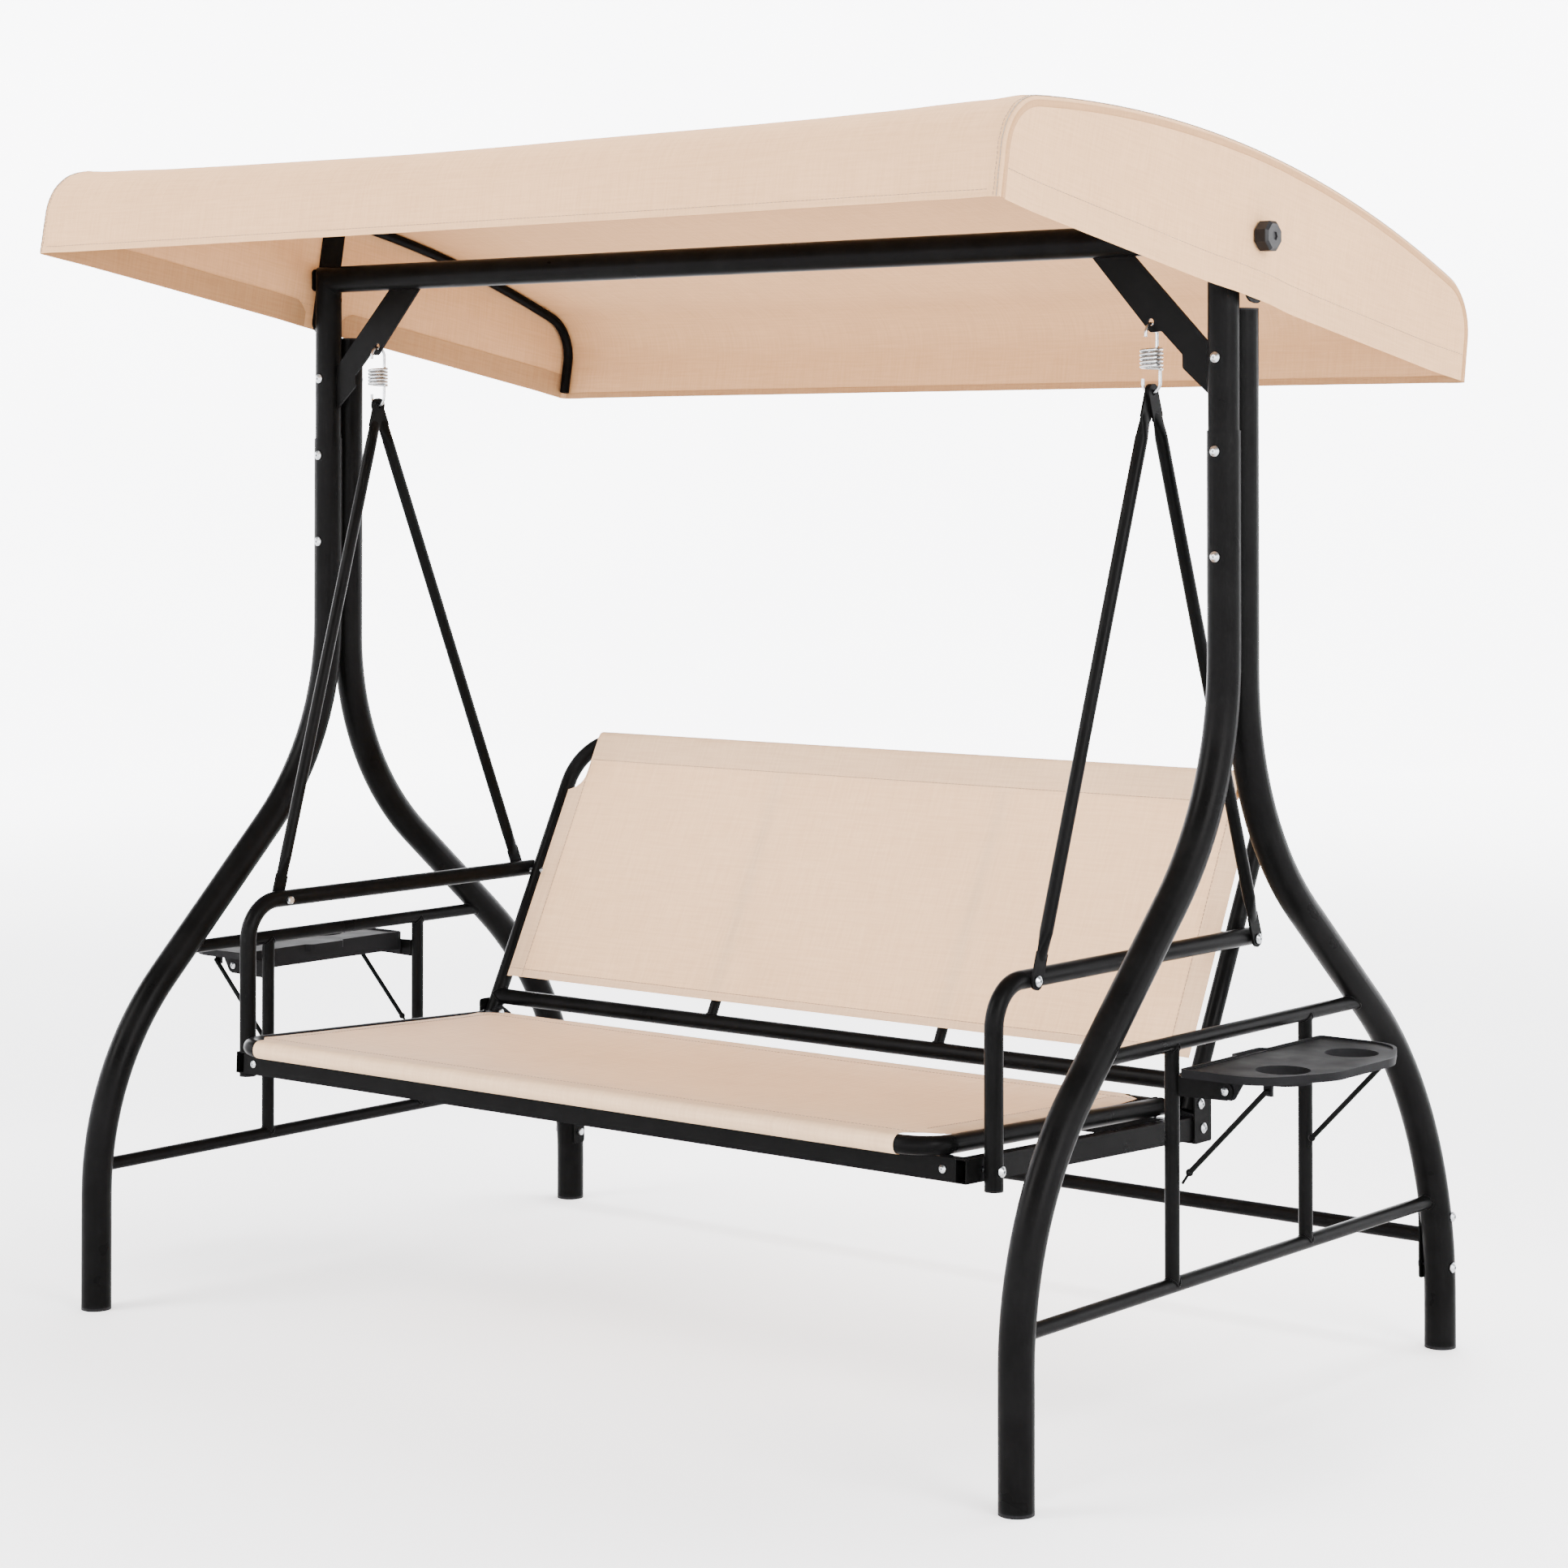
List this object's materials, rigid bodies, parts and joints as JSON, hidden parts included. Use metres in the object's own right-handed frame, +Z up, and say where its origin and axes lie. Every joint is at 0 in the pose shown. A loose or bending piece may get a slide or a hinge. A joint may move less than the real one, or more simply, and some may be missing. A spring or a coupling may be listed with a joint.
{
  "type": "canopy patio swing",
  "caption": "Patio swing seat with sling seat and backrest hung on springs from a bent-tube stand, with a tilting fabric canopy and folding side trays with cup holes.",
  "frame": {"origin": "on the ground, at the middle of the swing's length and depth", "axes": "+X along the seat, +Y from front to rear, +Z up"},
  "size_m": [2.35, 1.322, 1.9311],
  "materials": {
    "black_steel": "satin",
    "zinc_fasteners": "satin",
    "zinc_spring": "satin",
    "cap_plastic": "matte",
    "knob_plastic": "satin",
    "tray_plastic": "satin",
    "canopy_cloth": "woven, matte",
    "sling_mesh": "open weave, matte"
  },
  "bodies": {
    "stand": {"canopy_studs": "zinc_fasteners", "crossbar_bolts": "zinc_fasteners", "foot_caps": "cap_plastic", "front_leg_left": "black_steel", "front_leg_right": "black_steel", "gusset_left": "black_steel", "gusset_right": "black_steel", "pivot_plates": "black_steel", "post_bolts": "zinc_fasteners", "rear_crossbar": "black_steel", "rear_leg_caps": "cap_plastic", "rear_leg_left": "black_steel", "rear_leg_right": "black_steel", "side_rails_left": "black_steel", "side_rails_right": "black_steel", "top_beam": "black_steel", "top_post_left": "black_steel", "top_post_right": "black_steel", "tray_bolts": "zinc_fasteners", "tray_brackets": "black_steel", "uprights_left": "black_steel", "uprights_right": "black_steel"},
    "canopy": {"canopy_arch_left": "black_steel", "canopy_arch_right": "black_steel", "canopy_cover": "canopy_cloth", "canopy_strip_left": "black_steel", "canopy_strip_right": "black_steel"},
    "seat": {"arm_caps": "cap_plastic", "arm_foot_bolts": "zinc_fasteners", "arm_left": "black_steel", "arm_right": "black_steel", "back_frame": "black_steel", "back_lower_tube": "black_steel", "back_sling": "sling_mesh", "back_stays": "black_steel", "bracket_bolts": "zinc_fasteners", "front_bar_bolts": "zinc_fasteners", "hanger_bolts": "zinc_fasteners", "hanger_front_left": "black_steel", "hanger_front_right": "black_steel", "hanger_rear_left": "black_steel", "hanger_rear_right": "black_steel", "hinge_brackets": "black_steel", "seat_front_bar": "black_steel", "seat_loop": "black_steel", "seat_rear_bar": "black_steel", "seat_rear_tube": "black_steel", "seat_side_bar_left": "black_steel", "seat_side_bar_right": "black_steel", "seat_sling": "sling_mesh"},
    "braces_left": {"braces_left": "black_steel"},
    "braces_right": {"braces_right": "black_steel"},
    "knob_left": {"knob_left": "knob_plastic"},
    "knob_right": {"knob_right": "knob_plastic"},
    "spring_left": {"spring_coil_left": "zinc_spring"},
    "spring_right": {"spring_coil_right": "zinc_spring"},
    "hook_left": {"spring_hook_left": "zinc_spring"},
    "hook_right": {"spring_hook_right": "zinc_spring"},
    "tray_left": {"tray_left": "tray_plastic"},
    "tray_right": {"tray_right": "tray_plastic"}
  },
  "joints": [
    {"name": "canopy_tilt", "type": "hinge", "parent": "stand", "child": "canopy", "pos_m": [0, 0.01, 1.766], "axis": [1, 0, 0], "range_deg": [-14, 32]},
    {"name": "knob_right_turn", "type": "hinge", "parent": "stand", "child": "knob_right", "pos_m": [1.004, 0.01, 1.766], "axis": [1, 0, 0], "range_deg": [0, 720]},
    {"name": "knob_left_turn", "type": "hinge", "parent": "stand", "child": "knob_left", "pos_m": [-1.004, 0.01, 1.766], "axis": [-1, 0, 0], "range_deg": [0, 720]},
    {"name": "spring_right_swing", "type": "hinge", "parent": "stand", "child": "spring_right", "pos_m": [0.823, -0.026, 1.64], "axis": [1, 0, 0], "range_deg": [-15, 15]},
    {"name": "spring_right_stretch", "type": "slide", "parent": "spring_right", "child": "hook_right", "axis": [0, 0, -1], "range_m": [0, 0.035], "stiffness_N_per_m": 30000, "springref_m": -0.01, "deforming": ["spring_coil_right"]},
    {"name": "seat_pivot", "type": "hinge", "parent": "hook_right", "child": "seat", "pos_m": [0.823, -0.026, 1.536], "axis": [1, 0, 0], "range_deg": [-10, 10]},
    {"name": "spring_left_swing", "type": "hinge", "parent": "stand", "child": "spring_left", "pos_m": [-0.823, -0.026, 1.64], "axis": [1, 0, 0], "range_deg": [-15, 15]},
    {"name": "spring_left_stretch", "type": "slide", "parent": "spring_left", "child": "hook_left", "axis": [0, 0, -1], "range_m": [0, 0.035], "deforming": ["spring_coil_left"]},
    {"name": "tray_right_fold", "type": "hinge", "parent": "stand", "child": "tray_right", "pos_m": [1.04, -0.004, 0.53], "axis": [0, 1, 0], "range_deg": [0, 90]},
    {"name": "braces_right_fold", "type": "hinge", "parent": "tray_right", "child": "braces_right", "pos_m": [1.1, -0.004, 0.534], "axis": [0, 1, 0], "range_deg": [-134.8, 0]},
    {"name": "tray_left_fold", "type": "hinge", "parent": "stand", "child": "tray_left", "pos_m": [-1.04, -0.004, 0.53], "axis": [0, -1, 0], "range_deg": [0, 90]},
    {"name": "braces_left_fold", "type": "hinge", "parent": "tray_left", "child": "braces_left", "pos_m": [-1.1, -0.004, 0.534], "axis": [0, -1, 0], "range_deg": [-134.8, 0]}
  ],
  "couplings": [
    {"joint": "spring_left_swing", "follows": "spring_right_swing", "ratio": 1},
    {"joint": "spring_left_stretch", "follows": "spring_right_stretch", "ratio": 1},
    {"joint": "braces_right_fold", "follows": "tray_right_fold", "ratio": -1.4951},
    {"joint": "braces_left_fold", "follows": "tray_left_fold", "ratio": -1.4951}
  ]
}
